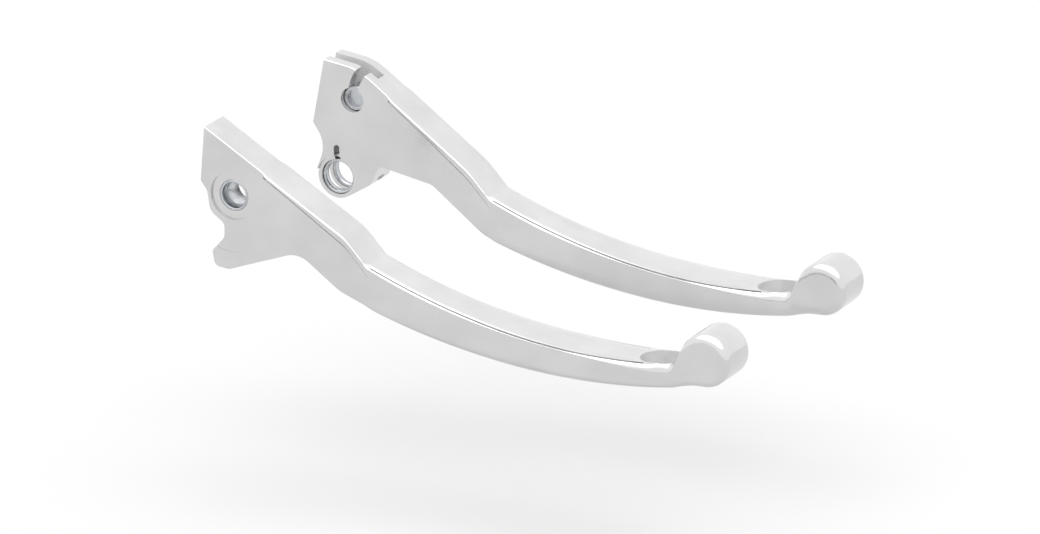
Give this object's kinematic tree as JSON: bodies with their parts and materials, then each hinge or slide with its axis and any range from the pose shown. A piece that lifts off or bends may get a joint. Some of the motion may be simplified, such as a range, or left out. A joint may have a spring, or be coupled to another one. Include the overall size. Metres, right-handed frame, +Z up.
{
  "type": "brake and clutch lever pair",
  "caption": "Pair of curved hand levers with barrel ends: a hooked brake lever and a forked cable lever, each turning on pivot bushes.",
  "frame": {"origin": "centre of the brake lever's pivot bore, midway between the two faces of its sleeve", "axes": "+X along the levers from the pivots to the barrel ends, +Y along the pivot bores from the brake lever to the clutch lever, +Z up, away from the blades' bellies"},
  "size_m": [0.1826, 0.0885, 0.061],
  "materials": {
    "polished_aluminium": "polished and clear anodised",
    "zinc_plated_steel": "turned and zinc plated"
  },
  "bodies": {
    "pivots": {"brake_pivot_sleeve": "zinc_plated_steel", "clutch_bush_near": "zinc_plated_steel", "clutch_bush_far": "zinc_plated_steel"},
    "brake": {"brake_lever": "polished_aluminium"},
    "clutch": {"clutch_lever": "polished_aluminium"},
    "anchor": {"cable_anchor": "zinc_plated_steel"}
  },
  "joints": [
    {"name": "brake_squeeze", "type": "hinge", "parent": "pivots", "child": "brake", "pos_m": [0, 0, 0], "axis": [0, -1, 0], "range_deg": [0, 22]},
    {"name": "clutch_squeeze", "type": "hinge", "parent": "pivots", "child": "clutch", "pos_m": [-0.0041, 0.0727, -0.0165], "axis": [0, -1, 0], "range_deg": [0, 27]},
    {"name": "anchor_turn", "type": "hinge", "parent": "clutch", "child": "anchor", "pos_m": [0.0015, 0.0727, 0.0095], "axis": [0, 1, 0], "range_deg": [-25, 25]}
  ]
}
